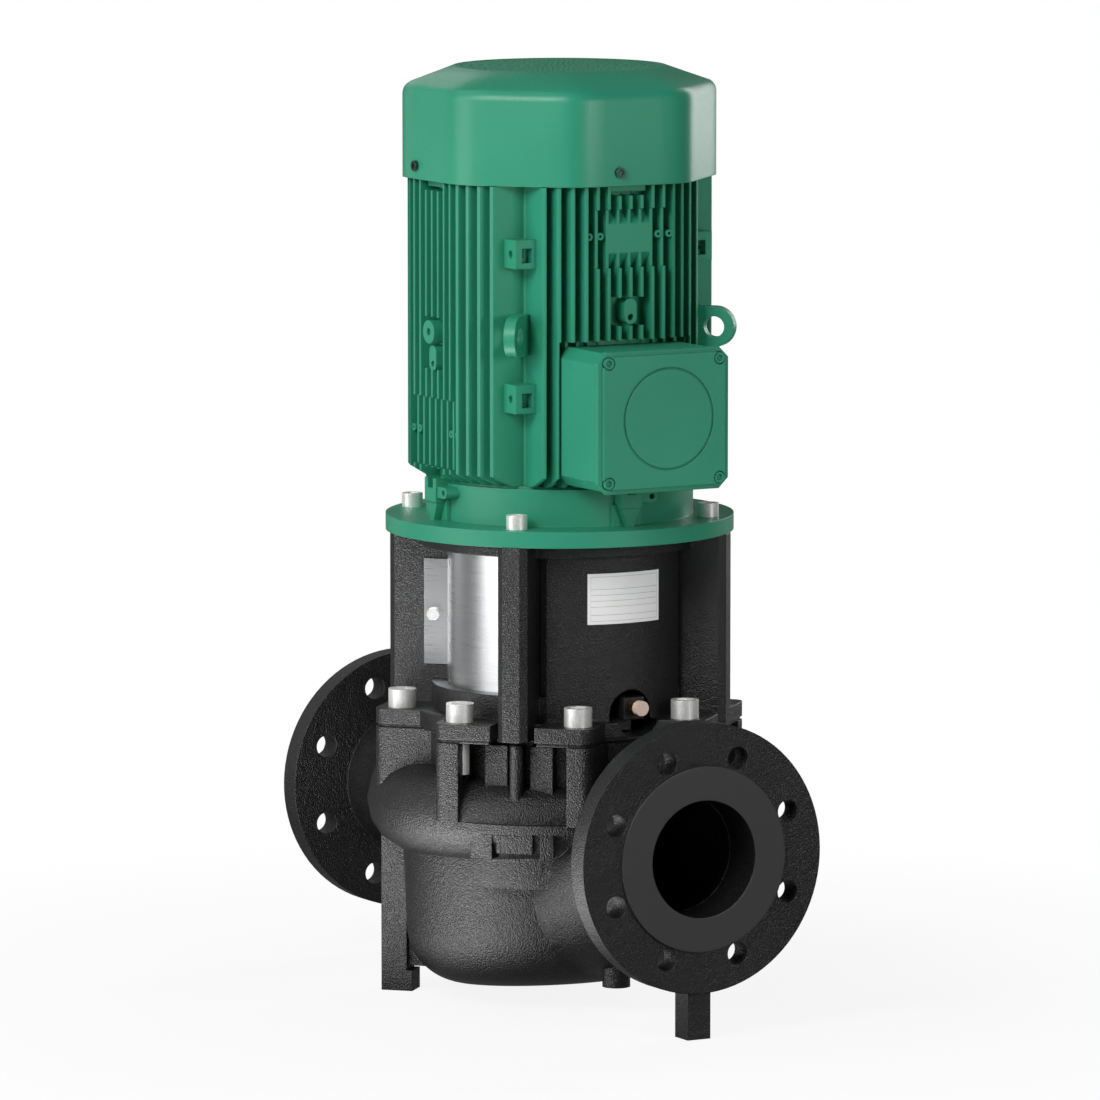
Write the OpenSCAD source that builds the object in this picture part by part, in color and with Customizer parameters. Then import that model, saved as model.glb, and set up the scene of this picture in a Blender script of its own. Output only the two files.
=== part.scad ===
// Dry rotor in-line pump with a flanged volute casing, a lantern and a finned flange motor.
// The origin is the centre of the suction flange's face, on the pipe axis.
// +X leaves the pump through the suction flange and +Z points up along the shaft.
// Lengths are in millimetres. Heights called _z are measured from the pipe axis.

/* [Pipe connections] */
// Bore of both pipe connections
nominal_bore = 100; // [90:1:104]
// Outside diameter of the pipe flanges
flange_d = 230; // [220:1:240]
// Thickness of the pipe flanges with their raised face
flange_t = 24; // [20:0.5:28]
// Diameter of the raised sealing face
raised_face_d = 158; // [140:1:160]
// Height of the raised sealing face
raised_face_h = 3; // [1:0.5:4]
// Bolt circle of the pipe flanges
flange_pcd = 180; // [178:1:190]
// Bolt hole diameter of the pipe flanges
flange_hole_d = 19; // [16:0.5:20]
// Number of bolt holes in each pipe flange
flange_holes = 8; // [4:4:8]
// Distance between the two flange faces
face_to_face = 550; // [530:5:600]
// Distance from the suction face to the shaft axis
suction_length = 250; // [240:1:265]
// Wall of the pipe branches
pipe_wall = 12; // [9:0.5:14]

/* [Pump casing] */
// Height of the pipe axis above the floor
pipe_axis_h = 155; // [150:1:170]
// Height of the casing's joint face above the pipe axis
casing_top_z = 85; // [80:0.5:90]
// Radius of the round casing drum
drum_r = 118; // [116:0.5:120]
// Radius of the bore that the casing cover plugs
chamber_r = 104; // [102:0.5:107]
// Height of the volute's centreline above the pipe axis
volute_z = 16; // [14:0.5:18]
// Outside radius of the volute tube at its throat
volute_tube_r = 41; // [39:0.5:43]
// Wall of the volute tube
volute_wall = 8; // [6:0.5:9]
// Radius of the circle that the volute tube winds around
volute_base_r = 81.6; // [79:0.2:84]
// Radius of the suction bowl below the volute
bowl_r = 122; // [118:0.5:126]
// Distance that the bowl sits behind the shaft axis
bowl_offset = 30; // [26:0.5:34]
// Depth of the bowl below the pipe axis
bowl_depth = 141.5; // [135:0.5:145]
// Radius of the bowl's rounded bottom edge
bowl_round = 50; // [40:1:56]
// Wall of the suction bowl
bowl_wall = 10; // [8:0.5:12]
// Outside radius of the shelf that the bolt posts stand on
shelf_r = 152; // [150:0.5:156]
// Thickness of the shelf
shelf_t = 8; // [6:0.5:10]
// Width and depth of the two rear legs
leg_w = 23; // [18:0.5:26]
// Distance from the shaft axis to the outer face of a rear leg
leg_reach = 158; // [156:0.5:164]
// Width of the front foot
foot_w = 22; // [18:0.5:28]
// Thickness of the front foot along the pipe
foot_t = 21.5; // [18:0.5:26]

/* [Casing joint] */
// Bolt circle of the joint between casing and lantern
joint_pcd = 273; // [272:0.5:275]
// Thread diameter of the joint bolts
joint_bolt_d = 16; // [14:1:16]
// Distance from the shaft axis to the flat side of the joint flange
ear_reach = 147; // [146:0.5:149]
// Half length of the flat side of the joint flange
ear_end = 70; // [68:0.5:72]
// Half width of the notch between two ears
ear_notch = 19.5; // [17:0.5:22]
// Width of a bolt post below an ear
post_w = 22; // [20:0.5:24]
// Length of the joint bolts below the head
joint_bolt_l = 45; // [38:1:48]

/* [Casing cover and seal] */
// Thickness of the cover plate clamped in the joint
cover_t = 3; // [2:0.5:5]
// Wall of the cover's dished part
cover_wall = 9; // [7:0.5:11]
// Bore radius of the seal chamber in the cover
seal_chamber_r = 32; // [30:0.5:34]
// Diameter of the stub shaft through the seal
seal_shaft_d = 32; // [30:1:34]
// Height of the vent valve above the pipe axis
vent_z = 112.5; // [111:0.5:115]
// Sideways place of the vent valve
vent_y = 8; // [5:0.5:10]
// Diameter of the vent screw's round head
vent_head_d = 13; // [11:0.5:14]

/* [Impeller] */
// Outside radius of the impeller
impeller_r = 98; // [92:0.5:100]
// Radius of the impeller's suction eye
eye_r = 46; // [42:0.5:48]
// Width of the impeller's outlet
outlet_w = 14; // [11:0.5:16]
// Number of impeller vanes
vane_count = 6; // [5:1:8]
// Thickness of an impeller vane
vane_t = 4.5; // [3.5:0.5:6]
// Thickness of the impeller shrouds
shroud_t = 4.5; // [4:0.5:6]

/* [Lantern] */
// Height of the lantern
lantern_h = 166.6; // [160:0.2:175]
// Thickness of the lantern's foot flange
lantern_flange_t = 13; // [11:0.5:15]
// Outside radius of the closed lantern walls
lantern_wall_r = 113; // [111:0.5:115]
// Inside radius of the lantern
lantern_inner_r = 97; // [95:0.5:98]
// Half width of a corner post
corner_post_w = 13; // [12:0.5:15]
// Distance that a corner post stands out past the motor flange
post_overhang = 0.5; // [0:0.25:2]
// Chamfer on the edges of a corner post
post_chamfer = 5.5; // [3:0.5:7]
// Outside radius of the sill ring below the windows
sill_r = 110.5; // [108:0.5:112]
// Height of the sill ring above the foot flange
sill_h = 21; // [15:0.5:26]
// Thickness of the guard sheets
guard_t = 1.5; // [1:0.1:2]
// Width of the label
label_w = 71; // [60:1:76]
// Height of the label
label_h = 43.5; // [36:0.5:50]

/* [Motor flange] */
// Diameter of the motor flange
motor_flange_d = 300; // [296:1:306]
// Thickness of the motor flange
motor_flange_t = 14; // [12:0.5:16]
// Distance from the motor flange's edge to its bolt circle
motor_edge = 17.5; // [16.5:0.5:18.5]
// Thread diameter of the motor flange bolts
motor_bolt_d = 12; // [10:1:12]
// Length of the motor flange bolts below the head
motor_bolt_l = 34; // [30:1:38]
// Distance from the motor flange's edge to the spigot
spigot_step = 35; // [34:0.5:37]
// Height of the spigot
spigot_h = 4; // [3:0.5:5]
// Distance from the motor flange's edge to the neck above it
neck_step = 35; // [33:0.5:38]
// Height of the neck above the motor flange
neck_h = 34; // [30:0.5:38]

/* [Motor frame] */
// Height of the finned frame
frame_h = 260; // [250:1:275]
// Outside radius of the frame tube between the fins
frame_r = 108; // [107:0.5:110]
// Inside radius of the frame tube
frame_bore_r = 100; // [98:0.5:101]
// Distance between the fins
fin_pitch = 10.6; // [10:0.1:10.8]
// Thickness of a fin
fin_t = 2.8; // [2.2:0.1:3.4]
// Number of fins on each side of the middle fin
fin_half_count = 7; // [6:1:7]
// Distance from the shaft axis to the flat ends of the fins
fin_flat = 124.8; // [122:0.2:125]
// Radius of the circle that trims the outer fins
fin_trim_r = 130.5; // [127:0.5:131]
// Half width of the square that the foot pads form
pad_reach = 95.6; // [93:0.2:98]
// Width of a foot pad
pad_w = 21; // [17:0.5:24]
// Distance from the shaft axis to the middle of a lifting eye
eye_reach = 138.5; // [136:0.5:142]
// Radius of the hole in a lifting eye
eye_hole_r = 9; // [8:0.5:10]
// Radial width of a lifting eye's ring
eye_ring_w = 8.5; // [7:0.5:10]
// Thickness of a lifting eye
eye_t = 10; // [8:0.5:12]
// Height of the lifting eyes above the lower end of the frame
eye_z_in_frame = 130; // [120:1:140]

/* [Terminal box] */
// Width of the terminal box
box_w = 126; // [118:1:132]
// Height of the terminal box
box_h = 120.5; // [112:0.5:126]
// Distance from the shaft axis to the outside of the lid
box_reach = 182.7; // [176:0.5:190]
// Height of the box's lower edge above the lower end of the frame
box_z_in_frame = 1.5; // [1:0.5:6]
// Thickness of the lid
lid_t = 9; // [7:0.5:12]
// Wall of the terminal box
box_wall = 5; // [4:0.5:6]
// Diameter of the ring groove on the lid
lid_ring_d = 84; // [70:1:92]
// Distance of the lid screws from the edges
lid_screw_inset = 9.5; // [8:0.5:12]

/* [Motor inside] */
// Diameter of the motor shaft's free end
shaft_end_d = 38; // [36:1:38]
// Length of the motor shaft's free end
shaft_end_l = 80; // [72:1:84]
// Diameter of the bearing seats on the motor shaft
journal_d = 40; // [40:1:42]
// Radius of the rotor
rotor_r = 62; // [58:0.5:66]
// Air gap between rotor and stator
air_gap = 0.5; // [0.4:0.1:1]
// Length of the stator and rotor cores
core_l = 130; // [110:1:140]
// Outside diameter of the lower bearing
lower_bearing_d = 90; // [88:1:92]
// Width of the lower bearing
lower_bearing_w = 23; // [21:0.5:25]
// Outside diameter of the upper bearing
upper_bearing_d = 80; // [78:1:84]
// Width of the upper bearing
upper_bearing_w = 18; // [16:0.5:20]

/* [Fan and cover] */
// Distance from the shaft axis to the flats of the fan cover
cover_flat = 127.8; // [127.8:0.2:131]
// Corner radius of the fan cover
cover_corner_r = 35; // [25:1:45]
// Sheet thickness of the fan cover
cover_sheet = 2.2; // [1.6:0.1:2.4]
// Height of the fan cover
cover_h = 94.5; // [88:0.5:104]
// Rounding between the sides and the slope of the fan cover
cover_round = 11; // [8:0.5:14]
// Slope of the fan cover's shoulder
cover_slope = 27; // [22:1:32]
// Radius of the flat grille on top
grille_r = 91.4; // [85:0.2:95]
// Radius of a grille hole
grille_hole_r = 2.3; // [1.8:0.1:2.6]
// Distance between the rings of grille holes
grille_pitch = 8; // [7.5:0.1:9]
// Radius of the fan
fan_r = 100; // [90:1:106]
// Number of fan blades
fan_blades = 9; // [7:1:11]

/* [Hidden] */

$fn = 48;
running = 0.05;   // radial clearance of a running fit
gap = 0.5;        // clearance between pieces that must not touch
bite = 1;         // overlap of joined features inside one piece
seam = 0.6;       // step between two skins that would otherwise only touch

// Drain plug in a boss under the suction pipe
drain_x = 100;
drain_z = -131;
drain_d = 12;
drain_boss_d = 24;

// Levels up the shaft
floor_z = -pipe_axis_h;
lantern_z = casing_top_z + cover_t;
lantern_foot_z = lantern_z + lantern_flange_t;
lantern_top_z = lantern_z + lantern_h;
shield_top_z = lantern_top_z + motor_flange_t;
frame_z = shield_top_z + neck_h;
frame_top_z = frame_z + frame_h;
fan_cover_z = frame_top_z - 3.5;

// Joint flange: four flat sides, each with two ears beside a corner post
side_angles = [-135, -45, 45, 135];
joint_angle = 22.5;
joint_bolt_reach = joint_pcd / 2 * cos(joint_angle);
ear_corner = 10;
ear_root = 52;
corner_post_reach = motor_flange_d / 2 + post_overhang;
cover_inset = 1.5;
// Pads under the shelf: first angle, last angle and lower end
shelf_pads = [[-60, -52, -13], [-50.3, -38, -7.5], [-35.5, -31, -12.5]];
shelf_pad_r = shelf_r - 4;
// The drum's lower part shows between the bowl and the suction side
drum_low_z = -19;
drum_boss_z = -43;
drum_boss_angle = 68;
discharge_hole_play = 0.4;

// Motor flange, with the spigot, bolts and neck placed from its edge
motor_pcd = motor_flange_d - 2 * motor_edge;
spigot_d = motor_flange_d - 2 * spigot_step;
neck_r = motor_flange_d / 2 - neck_step;
// Lugs on the neck
lug_base_h = 18.4;
lug_base_w = 28;
lug_fork_z = 15.7;
lug_fork_w = 20;
lug_fork_reach = 11.5;
lug_slot_w = 9;
lug_slot_z = 27.7;
lug_over = 2.3;
lug_ear_r = 4.9;
lug_ear_y = 21.5;
lug_ear_z = 24.7;

// Suction elbow: the pipe axis dives from the flange into the tilted bowl
bowl_tilt = 5;
bowl_top_z = -8;
bowl_cavity_z = -55;
pipe_r = nominal_bore / 2 + pipe_wall;
elbow_start = suction_length - 40;
elbow_end = [40, 0, -64];
elbow_end_r = 70;
elbow_end_wall = bowl_wall + 9;
elbow_steps = 7;
elbow_pull = 110;
discharge_length = face_to_face - suction_length;

// Volute: the tube grows along the wrap and leaves towards the discharge flange
volute_start = 192;
volute_throat = -112;
volute_steps = 24;
volute_split = 6;
branch_steps = 8;
volute_growth = 0.9;
branch_pull = 190;
tube_sides = 16;

// Impeller and eye
eye_wall = 6;
impeller_mid_z = volute_z;
shroud_top_z = impeller_mid_z + outlet_w / 2 + shroud_t;
eye_z = -22;
wear_ring_t = 6;
neck_gap = 0.4;
hub_r = 26;
hub_bore_r = 14;
hub_z = 2;
seal_shaft_r = seal_shaft_d / 2;

// Stub shaft that plugs over the motor shaft end
sleeve_r = 30;
sleeve_z = lantern_top_z - shaft_end_l - 6;
sleeve_top_z = lantern_top_z - 6;

// Vent boss of the cover and the arched recess in the lantern round it
vent_face = 116;
vent_boss_w = 20;
vent_boss_top = 8;
arch_r = 20.5;
arch_y = vent_y - 1.2;
arch_z = vent_z - 6.2;

// Screws of the guard sheets
guard_screw_d = 6;
guard_screw_reach = 108.8;
guard_screw_z = lantern_z + 89.6;

// Casing cover
cover_low_z = shroud_top_z + 6;
seal_seat_z = casing_top_z - 10;

// Bearings
bearing_low_z = shield_top_z + 8;
bearing_high_z = frame_top_z - upper_bearing_w - 6;
core_z = frame_z + 52;
fan_z = frame_top_z + 22;
fan_hub_h = 28;
circlip_r = 15.2;
circlip_t = 1.5;

// Motor frame: heights above its lower end of the lower fins, bosses and pockets
quarters = [0, 90, 180, 270];
field_depth = 3.6;
field_half_w = 3.5 * fin_pitch;
pad_field_z = 187;
pad_field_h = 49.5;
low_field_z = 12;
low_field_h = 59;
small_boss_r = 3.2;
small_boss_bore = 2.6;
slot_boss_w = 12;
slot_boss_h = 22;
box_slot_z = 138.5;
side_slot_z = 94;
earth_boss_r = 10;
earth_reach = 128;
earth_z = 127.5;
earth_hole_d = 6.5;
pocket_h = 9;
lug_gap_h = 12;
foot_pad_h = 24.5;
foot_pad_z = [64, 187];

// Fan cover screws: direction of the flat and place along it
cover_screw_sites = [[0, -13.4], [90, -22], [180, -13.4], [270, -22]];
cover_screw_z = frame_top_z + 8;

function unit(v) = v / norm(v);
function flatten(list) = [for (part = list) for (item = part) item];
function arc(cx, cy, r, from, to, steps) =
    [for (i = [0:steps]) let (a = from + (to - from) * i / steps) [cx + r * cos(a), cy + r * sin(a)]];

// Everything round the shaft is drawn on its axis and moved there by this module
module on_shaft() translate([-suction_length, 0, 0]) children();

module at_angle(a, reach, side = 0, z = 0)
    rotate(a) translate([reach, side, z]) children();

module tube(outer, inner, z0, z1)
    rotate_extrude() translate([inner, z0]) square([outer - inner, z1 - z0]);

// Part of a ring between two angles
module ring_sector(outer, inner, z0, z1, from, to)
    rotate(from) rotate_extrude(angle = to - from)
        translate([inner, z0]) square([outer - inner, z1 - z0]);

// Closed skin over a list of rings that each have the same number of points.
// With wrap the last ring joins the first one, otherwise both ends are capped.
module skin(rings, wrap = false) {
    n = len(rings[0]);
    last = len(rings) - 1;
    sides = [for (i = [0:wrap ? last : last - 1]) for (k = [0:n - 1])
        let (k1 = (k + 1) % n, i1 = (i + 1) % (last + 1), a = i * n + k, b = i * n + k1, c = i1 * n + k1,
            d = i1 * n + k) each [[a, b, c], [a, c, d]]];
    caps = wrap ? [] : [[for (k = [n - 1:-1:0]) k], [for (k = [0:n - 1]) last * n + k]];
    polyhedron(points = flatten(rings), faces = concat(sides, caps), convexity = 6);
}

// Round section of radius r square to direction dir
function section(centre, dir, r, sides) =
    let (t = unit(dir), right = unit(cross(t, [0, 0, 1])), up = cross(right, t))
    [for (k = [0:sides - 1]) let (a = 360 * k / sides) centre + r * (cos(a) * right + sin(a) * up)];

module socket_screw(d, length, head_d, head_h, key) {
    difference() {
        cylinder(d = head_d, h = head_h);
        translate([0, 0, head_h / 2]) cylinder(d = key / cos(30), h = head_h, $fn = 6);
    }
    translate([0, 0, -length]) cylinder(d = d, h = length + bite);
}

module hex_screw(d, length, across, head_h) {
    cylinder(d = across / cos(30), h = head_h, $fn = 6);
    translate([0, 0, -length]) cylinder(d = d, h = length + bite);
}

// Outline of the joint flange, shared by the lantern foot and the casing's bolt posts
module ear_outline(from, to, inset = 0) {
    polygon(concat(
        [[joint_bolt_reach - ear_root, from], [ear_reach - inset, from]],
        arc(ear_reach - ear_corner - inset, to - ear_corner, ear_corner, 0, 90, 4),
        [[joint_bolt_reach - ear_root, to]]));
}

module each_side() for (a = side_angles) rotate(a) children();

module both_ears(from, inset = 0) for (m = [0, 1]) mirror([0, m])
    ear_outline(from + inset, ear_end - inset, inset);

module joint_bolt_places(z) for (i = [0:7])
    rotate(joint_angle + 45 * i) translate([joint_pcd / 2, 0, z]) children();

// Volute stations run clockwise seen from above, from the tongue to the throat
function volute_share(i) = (i + 1.5) / (volute_steps + 1.5);
function volute_angle(i) = volute_start + (volute_throat - volute_start) * i / volute_steps;
function tube_r(i, wall) = volute_tube_r * pow(volute_share(i), volute_growth) - wall;
function tube_centre(i) =
    let (a = volute_angle(i), r = volute_base_r + tube_r(i, 0))
    [r * cos(a), r * sin(a), volute_z];
function turn_dir(i) = let (a = volute_angle(i)) [sin(a), -cos(a), 0];

// Smooth curve from p to q that leaves along m and arrives along n
function curve(s, p, m, q, n) =
    (2 * s * s * s - 3 * s * s + 1) * p + (s * s * s - 2 * s * s + s) * m
    + (3 * s * s - 2 * s * s * s) * q + (s * s * s - s * s) * n;
function curve_dir(s, p, m, q, n) =
    s < 0.03 ? m : s > 0.97 ? n : curve(s + 0.02, p, m, q, n) - curve(s - 0.02, p, m, q, n);

// Rings along such a curve, with a radius that runs evenly from r0 to r1
function curve_rings(first, steps, p, m, q, n, r0, r1, sides) =
    [for (j = [first:steps]) let (s = j / steps)
        section(curve(s, p, m, q, n), curve_dir(s, p, m, q, n), r0 * (1 - s) + r1 * s, sides)];

function pipe_end_r(wall) = pipe_r - seam - (wall > 0 ? pipe_wall : 0);

function volute_rings(wall, from, to) = [for (i = [from:to])
    section(tube_centre(i), turn_dir(i), max(tube_r(i, wall), 2), tube_sides)];

// The wrap is two skins that meet at a shared section, because its end passes its start
module volute_body(wall) {
    skin(volute_rings(wall, 0, volute_split));
    skin(concat(volute_rings(wall, volute_split, volute_steps),
        curve_rings(1, branch_steps, tube_centre(volute_steps), turn_dir(volute_steps) * branch_pull,
            [-(discharge_length - 40), 0, 0], [-branch_pull, 0, 0],
            volute_tube_r - wall, pipe_end_r(wall), tube_sides)));
}

module pipe_flange_blank(neck) {
    translate([-flange_t, 0, 0]) rotate([0, 90, 0]) {
        cylinder(d = flange_d, h = flange_t - raised_face_h);
        cylinder(d = raised_face_d, h = flange_t);
    }
    translate([-neck, 0, 0]) rotate([0, 90, 0]) cylinder(r = pipe_r, h = neck - 2);
}

module pipe_flange_cuts(depth, play = 0) {
    translate([-depth, 0, 0]) rotate([0, 90, 0]) cylinder(d = nominal_bore, h = depth + 1);
    for (i = [0:flange_holes - 1]) rotate([180 / flange_holes + 360 * i / flange_holes, 0, 0])
        translate([-flange_t - 1, flange_pcd / 2, 0]) rotate([0, 90, 0])
            cylinder(d = flange_hole_d + play, h = flange_t + 2);
}

// The suction pipe dives and widens on its way to the bowl
module elbow(wall) skin(curve_rings(0, elbow_steps, [elbow_start, 0, 0], [-elbow_pull, 0, 0],
    elbow_end, [-elbow_pull, 0, 0], pipe_end_r(wall),
    elbow_end_r - (wall > 0 ? elbow_end_wall : 0), tube_sides + 4));

module bowl(wall, top) {
    r = bowl_r - wall;
    low = -bowl_depth + wall;
    round_r = bowl_round - wall;
    translate([-bowl_offset, 0, 0]) rotate([0, -bowl_tilt, 0]) rotate_extrude() {
        translate([0, low]) square([r - round_r, top - low]);
        translate([0, low + round_r]) square([r, top - low - round_r]);
        intersection() {
            translate([r - round_r, low + round_r]) circle(r = round_r);
            translate([0, low]) square([r, round_r + bite]);
        }
    }
}

module rear_leg() {
    at_angle(0, leg_reach - leg_w, -leg_w / 2, floor_z)
        cube([leg_w, leg_w, volute_z - floor_z]);
    at_angle(0, leg_reach - leg_w - 5, -leg_w / 2, floor_z) cube([leg_w, leg_w, 18]);
    at_angle(0, leg_reach - leg_w - 60, -5, -bowl_depth + 8) cube([70, 10, 112]);
}

module bolt_posts() {
    low = volute_z + 1;
    each_side() {
        translate([0, 0, low]) linear_extrude(casing_top_z - low) both_ears(ear_end - post_w);
        for (side = [-1, 1]) translate([drum_r - 14, side * 20 - 10, low])
            cube([23, 20, casing_top_z - low - 3]);
        translate([joint_bolt_reach + 8, 0, volute_z + 14])
            cylinder(d = 11.5, h = casing_top_z - volute_z - 14 - 2 * seam);
        translate([drum_r - 10, -4, volute_z + 14]) cube([26, 8, casing_top_z - volute_z - 17]);
    }
}

module casing_outside() {
    pipe_flange_at_suction();
    translate([-discharge_length, 0, 0]) mirror([1, 0, 0]) pipe_flange_blank(60);
    elbow(0);
    bowl(0, bowl_top_z);
    translate([0, 0, drum_low_z]) cylinder(r = drum_r, h = casing_top_z - seam - drum_low_z);
    ring_sector(drum_r - seam, eye_r + 20, drum_boss_z, drum_low_z + bite,
        -drum_boss_angle, drum_boss_angle);
    volute_body(0);
    translate([0, 0, volute_z + 1.5 - shelf_t])
        ring_sector(shelf_r, drum_r - 10, 0, shelf_t, -78, 150);
    for (pad = shelf_pads)
        ring_sector(shelf_pad_r, drum_r - 12, pad[2], volute_z + 2.5 - shelf_t, pad[0], pad[1]);
    bolt_posts();
    translate([drain_x, 0, drain_z]) cylinder(d = drain_boss_d, h = 50);
    rotate(135) rear_leg();
    rotate(-135) rear_leg();
}

module pipe_flange_at_suction() translate([suction_length, 0, 0]) {
    pipe_flange_blank(46);
    translate([-8 - foot_t, -foot_w / 2, floor_z]) cube([foot_t, foot_w, pipe_axis_h - flange_d / 2 + 10]);
}

module casing_inside() {
    translate([suction_length, 0, 0]) pipe_flange_cuts(42);
    translate([-discharge_length, 0, 0]) mirror([1, 0, 0]) pipe_flange_cuts(42, discharge_hole_play);
    elbow(pipe_wall);
    bowl(bowl_wall, bowl_cavity_z);
    cylinder(r = eye_r + 4, h = 200, center = true);
    translate([0, 0, eye_z - 1]) cylinder(r = eye_r + eye_wall + neck_gap + wear_ring_t, h = 60);
    translate([0, 0, eye_z + 16]) cylinder(r = chamber_r, h = 200);
    volute_body(volute_wall);
    translate([drain_x, 0, drain_z - 1]) cylinder(d = drain_d, h = 50);
    joint_bolt_places(casing_top_z - joint_bolt_l + lantern_flange_t + cover_t - 4)
        cylinder(d = joint_bolt_d, h = joint_bolt_l);
}

module volute_casing() color("#1e1e20") on_shaft() difference() {
    casing_outside();
    casing_inside();
}

module casing_wear_ring() color("#b08d57") on_shaft()
    tube(eye_r + eye_wall + neck_gap + wear_ring_t, eye_r + eye_wall + neck_gap, eye_z, eye_z + 14);

module drain_plug() color("#26262a") on_shaft() translate([drain_x, 0, drain_z + 1]) difference() {
    cylinder(d = drain_d - 0.1, h = 12);
    translate([0, 0, -1]) cylinder(d = 6 / cos(30), h = 6, $fn = 6);
}

module casing_cover() color("#26262a") on_shaft() difference() {
    union() {
        translate([0, 0, casing_top_z]) linear_extrude(cover_t) difference() {
            union() {
                circle(r = drum_r + 8 - cover_inset);
                each_side() both_ears(ear_notch, cover_inset);
            }
            circle(r = seal_chamber_r);
        }
        tube(chamber_r - 0.1, seal_chamber_r, cover_low_z, casing_top_z + bite);
        tube(seal_chamber_r + 10, seal_shaft_r + 6, seal_seat_z, lantern_z);
        translate([70, vent_y - vent_boss_w / 2, lantern_z - bite])
            cube([lantern_inner_r - 73, vent_boss_w, vent_z + vent_boss_top - lantern_z]);
        translate([70, vent_y - vent_boss_w / 2, lantern_foot_z + gap])
            cube([vent_face - 70, vent_boss_w, vent_z + vent_boss_top - lantern_foot_z - gap]);
    }
    rotate_extrude() polygon([[seal_chamber_r + 14, cover_low_z + cover_wall],
        [chamber_r - cover_wall, cover_low_z + cover_wall], [chamber_r - cover_wall, lantern_z + 1],
        [seal_chamber_r + 14, lantern_z + 1]]);
    rotate_extrude() translate([chamber_r, casing_top_z - 8]) circle(d = 5);
    translate([60, vent_y, vent_z]) rotate([0, 90, 0]) cylinder(d = 8, h = 80);
    joint_bolt_places(0) cylinder(d = joint_bolt_d + 1.5, h = 200);
}

module cover_o_ring() color("#101010") on_shaft()
    rotate_extrude() translate([chamber_r - 0.1 - 1.2, casing_top_z - 8]) circle(d = 2.2);

module joint_bolts() color("#dcdcda") on_shaft() joint_bolt_places(lantern_foot_z)
    socket_screw(joint_bolt_d - 0.2, joint_bolt_l, joint_bolt_d * 1.5, joint_bolt_d, 14);

module corner_post_outline() polygon([[lantern_inner_r - 8, -corner_post_w],
    [corner_post_reach - post_chamfer, -corner_post_w], [corner_post_reach, -corner_post_w + post_chamfer],
    [corner_post_reach, corner_post_w - post_chamfer], [corner_post_reach - post_chamfer, corner_post_w],
    [lantern_inner_r - 8, corner_post_w]]);

module lantern() color("#222225") on_shaft() difference() {
    union() {
        translate([0, 0, lantern_z]) linear_extrude(lantern_flange_t) {
            circle(r = drum_r + 8);
            each_side() {
                both_ears(ear_notch);
                corner_post_outline();
            }
        }
        tube(sill_r, lantern_inner_r - bite, lantern_z + bite, lantern_foot_z + sill_h);
        for (a = [0, 180])
            ring_sector(lantern_wall_r, lantern_inner_r - 2 * bite, lantern_z + 2 * bite, lantern_top_z - 11,
                a - 35, a + 35);
        for (a = [0, 180])
            ring_sector(lantern_wall_r - 8, lantern_inner_r - 3 * bite, lantern_z + 3 * bite,
                lantern_top_z - 10, a - 44, a + 44);
        tube(spigot_d / 2 + 6, lantern_inner_r - 4 * bite, lantern_top_z - 12, lantern_top_z);
        each_side() translate([0, 0, lantern_z + bite])
            linear_extrude(lantern_h - bite) corner_post_outline();
    }
    translate([0, 0, lantern_z - 1]) cylinder(r = lantern_inner_r, h = lantern_h + 2);
    translate([0, 0, lantern_top_z - spigot_h - gap]) cylinder(d = spigot_d + 0.1, h = 20);
    joint_bolt_places(0) cylinder(d = joint_bolt_d + 1.5, h = 200);
    for (a = side_angles) at_angle(a, motor_pcd / 2, 0, shield_top_z - motor_bolt_l - 2)
        cylinder(d = motor_bolt_d, h = motor_bolt_l + 10);
    translate([80, arch_y, arch_z]) rotate([0, 90, 0]) cylinder(r = arch_r, h = 60);
    translate([80, arch_y - arch_r, lantern_foot_z]) cube([60, 2 * arch_r, arch_z - lantern_foot_z]);
    for (facing = [-90, 90]) guard_screw_place(facing, 0) cylinder(d = guard_screw_d + 0.1, h = 40);
}

// Where the screw of a guard sheet stands in the side of a corner post
module guard_screw_place(facing, side)
    at_angle(facing - 45, guard_screw_reach, side, guard_screw_z) rotate([-90, 0, 0]) children();

// Guard sheet across the window that faces the given direction
module guard(facing) {
    outer = lantern_inner_r - 0.3;
    low = lantern_foot_z + sill_h - 4;
    high = lantern_top_z - 9;
    difference() {
        union() {
            ring_sector(outer, outer - guard_t, low, high, facing - 50, facing + 50);
            rotate(facing - 45) translate([outer - 8, corner_post_w + 0.1, low + 16])
                cube([29, guard_t, high - low - 36]);
        }
        for (i = [0:4]) rotate(facing - 17.3) translate([outer - 5, -1.3, low + 6 + i * 25])
            cube([10, 2.6, 9.5]);
        guard_screw_place(facing, 0) cylinder(d = guard_screw_d + 0.6, h = 40);
    }
}

module guard_left() color("#b9bbbd") on_shaft() guard(-90);
module guard_right() color("#b9bbbd") on_shaft() guard(90);

module guard_screws() color("#dcdcda") on_shaft() for (facing = [-90, 90])
    guard_screw_place(facing, corner_post_w + 0.1 + guard_t) hex_screw(guard_screw_d, 12, 10, 4);

module vent_valve_body() color("#b5894e") on_shaft()
    translate([vent_face, vent_y, vent_z]) rotate([0, 90, 0]) difference() {
        union() {
            cylinder(d = 10 / cos(30), h = 8, $fn = 6);
            translate([0, 0, -10]) cylinder(d = 7.9, h = 10 + bite);
        }
        translate([0, 0, -4]) cylinder(d = 5.1, h = 20);
    }

module vent_screw() color("#d98c5f") on_shaft()
    translate([vent_face, vent_y, vent_z]) rotate([0, 90, 0]) {
        translate([0, 0, 8.4]) cylinder(d = vent_head_d, h = 6);
        cylinder(d = 5, h = 9);
    }

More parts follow.
